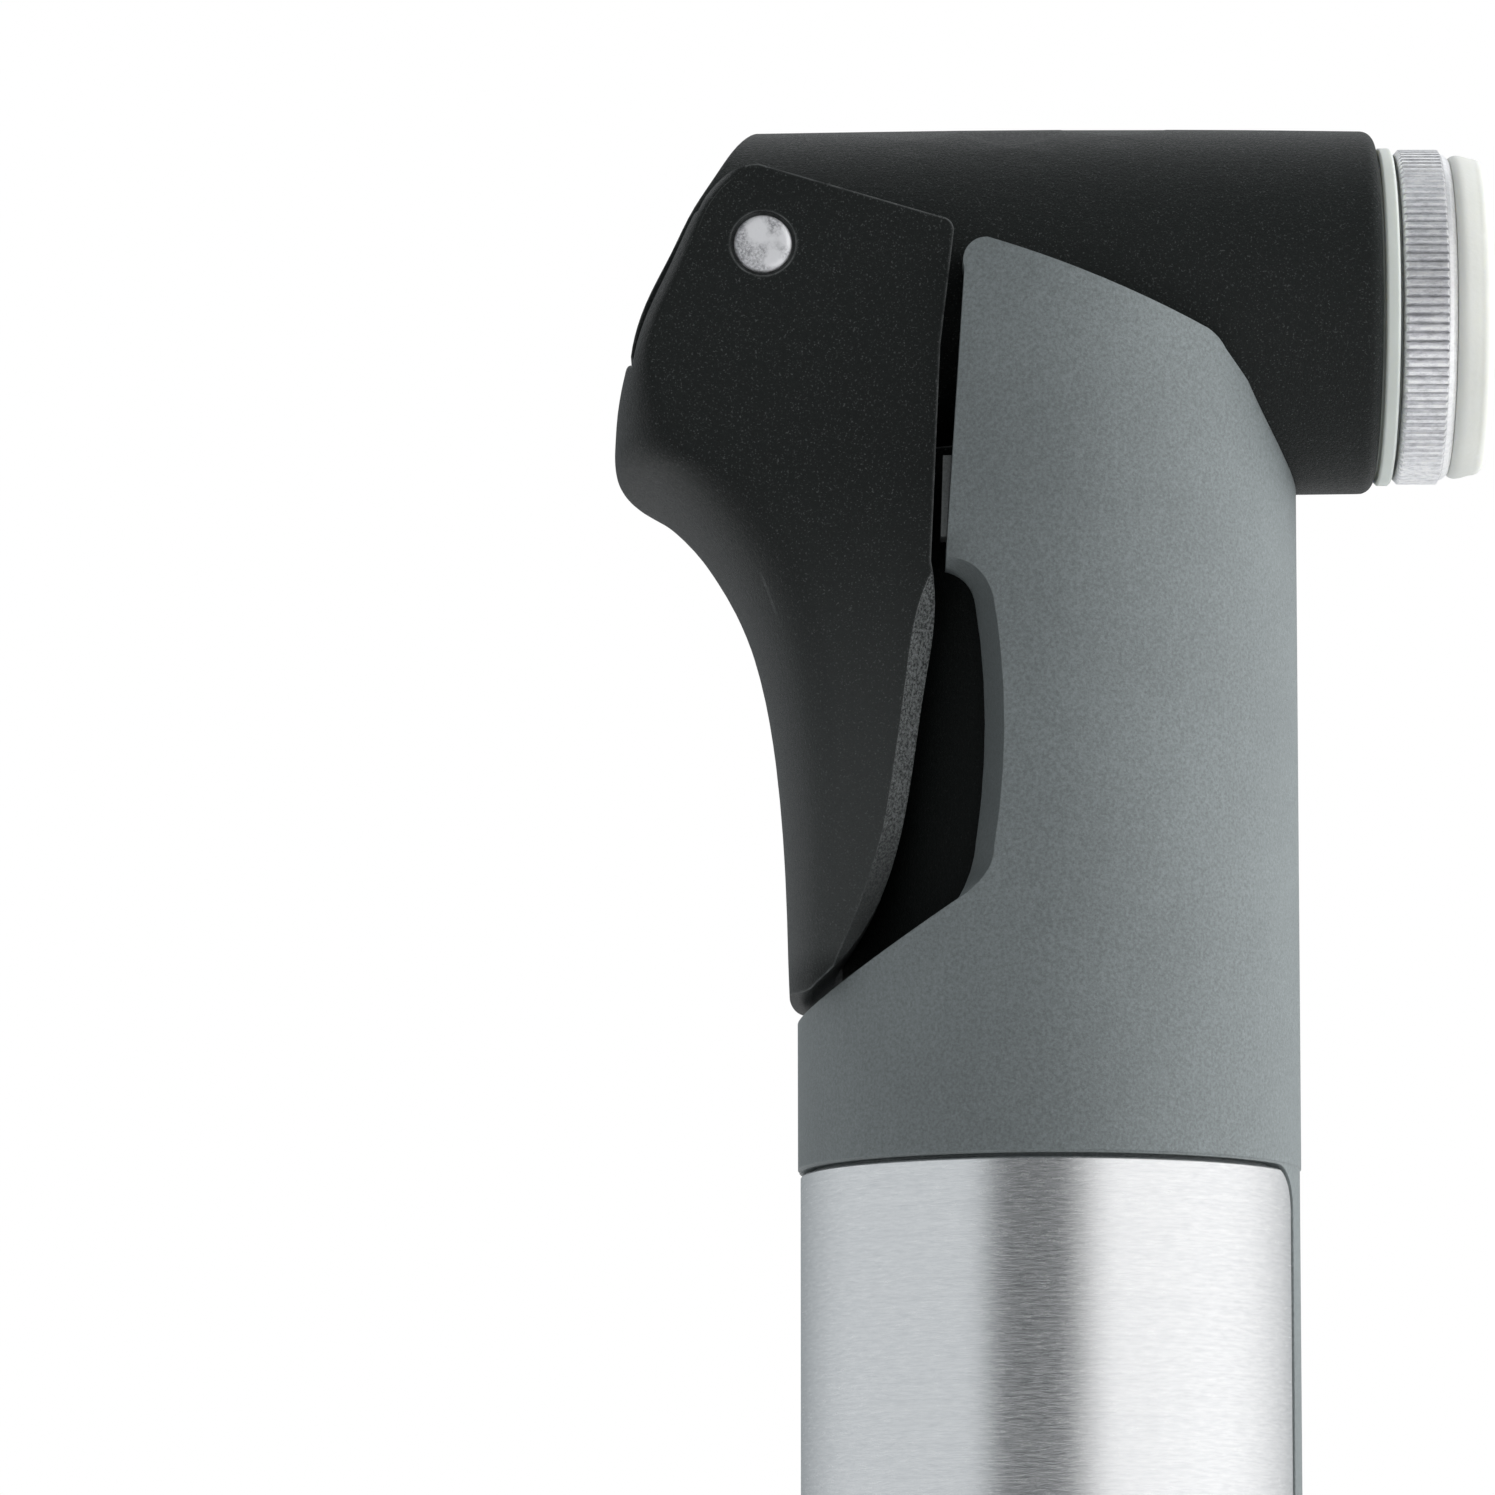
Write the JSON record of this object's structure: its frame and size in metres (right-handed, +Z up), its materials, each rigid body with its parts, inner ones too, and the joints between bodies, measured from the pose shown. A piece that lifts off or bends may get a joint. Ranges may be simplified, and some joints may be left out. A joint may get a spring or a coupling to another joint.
{
  "type": "bicycle hand pump",
  "caption": "Upright hand pump with a thumb-lock valve head: a fork lever squeezes a grommet round the tyre valve, and a telescoping handle drives the piston.",
  "frame": {"origin": "centre of the flat base of the handle, on the axis of the barrel", "axes": "+Z up the barrel to the head, +X out of the valve port, the fork lever on the -X side, Y along the lever's pin"},
  "size_m": [0.049, 0.028, 0.2089],
  "materials": {
    "grey_plastic": "satin mid-grey moulded plastic",
    "dark_grey_plastic": "matte dark grey moulded plastic",
    "black_plastic": "black moulded plastic with a fine spark-eroded grain",
    "brushed_aluminium": "brushed round the barrel, clear anodised",
    "turned_aluminium": "turned and straight-knurled",
    "pale_plastic": "natural, slightly green acetal",
    "cream_rubber": "soft cream elastomer",
    "black_rubber": "matte black rubber",
    "grip_rubber": "matte black soft-touch overmould",
    "pin_steel": "bright steel",
    "rod_aluminium": "drawn, polished aluminium tube"
  },
  "bodies": {
    "handle": {"handle_sleeve": "black_plastic", "handle_grip": "grip_rubber", "handle_end_cap": "grey_plastic", "base_plug": "dark_grey_plastic", "rod_screw": "pin_steel", "piston_rod": "rod_aluminium", "piston": "pale_plastic", "piston_o_ring": "black_rubber"},
    "pump": {"pump_housing": "grey_plastic", "barrel_shell": "brushed_aluminium", "pump_cylinder": "black_plastic", "head_shell": "black_plastic", "threaded_sleeve": "pale_plastic", "lever_stop_pads": "dark_grey_plastic", "bumper_ring": "black_rubber", "neck_o_ring": "black_rubber", "check_valve_seat": "pale_plastic", "check_valve_spring": "pin_steel", "rod_guide": "pale_plastic", "rod_bumper": "black_rubber", "valve_grommet": "black_rubber"},
    "thumb_lever": {"lever": "black_plastic", "lever_pin": "pin_steel", "lever_cam": "pale_plastic"},
    "squeeze_plunger": {"plunger": "black_plastic", "plunger_o_rings": "black_rubber"},
    "port_guide": {"valve_guide": "cream_rubber"},
    "port_nut": {"ring_nut": "turned_aluminium"},
    "valve_ball": {"check_valve_ball": "pin_steel"}
  },
  "joints": [
    {"name": "lever_hinge", "type": "hinge", "parent": "pump", "child": "thumb_lever", "pos_m": [-0.01595, 0, 0.20025], "axis": [0, 1, 0], "range_deg": [0, 90]},
    {"name": "plunger_slide", "type": "slide", "parent": "pump", "child": "squeeze_plunger", "axis": [1, 0, 0], "range_m": [0, 0.0016], "deforming": ["valve_grommet"]},
    {"name": "port_travel", "type": "slide", "parent": "pump", "child": "port_guide", "axis": [1, 0, 0], "range_m": [0, 0.003]},
    {"name": "nut_turn", "type": "hinge", "parent": "port_guide", "child": "port_nut", "pos_m": [0.021, 0, 0.19835], "axis": [1, 0, 0], "range_deg": [0, 1080]},
    {"name": "ball_lift", "type": "slide", "parent": "pump", "child": "valve_ball", "axis": [0, 0, 1], "range_m": [0, 0.0012], "stiffness_N_per_m": 60, "deforming": ["check_valve_spring"]},
    {"name": "barrel_slide", "type": "slide", "parent": "handle", "child": "pump", "axis": [0, 0, 1], "range_m": [0, 0.12]}
  ],
  "couplings": [
    {"joint": "plunger_slide", "follows": "lever_hinge", "m_per_rad": 0.0010186},
    {"joint": "nut_turn", "follows": "port_travel", "rad_per_m": 6283.2}
  ]
}
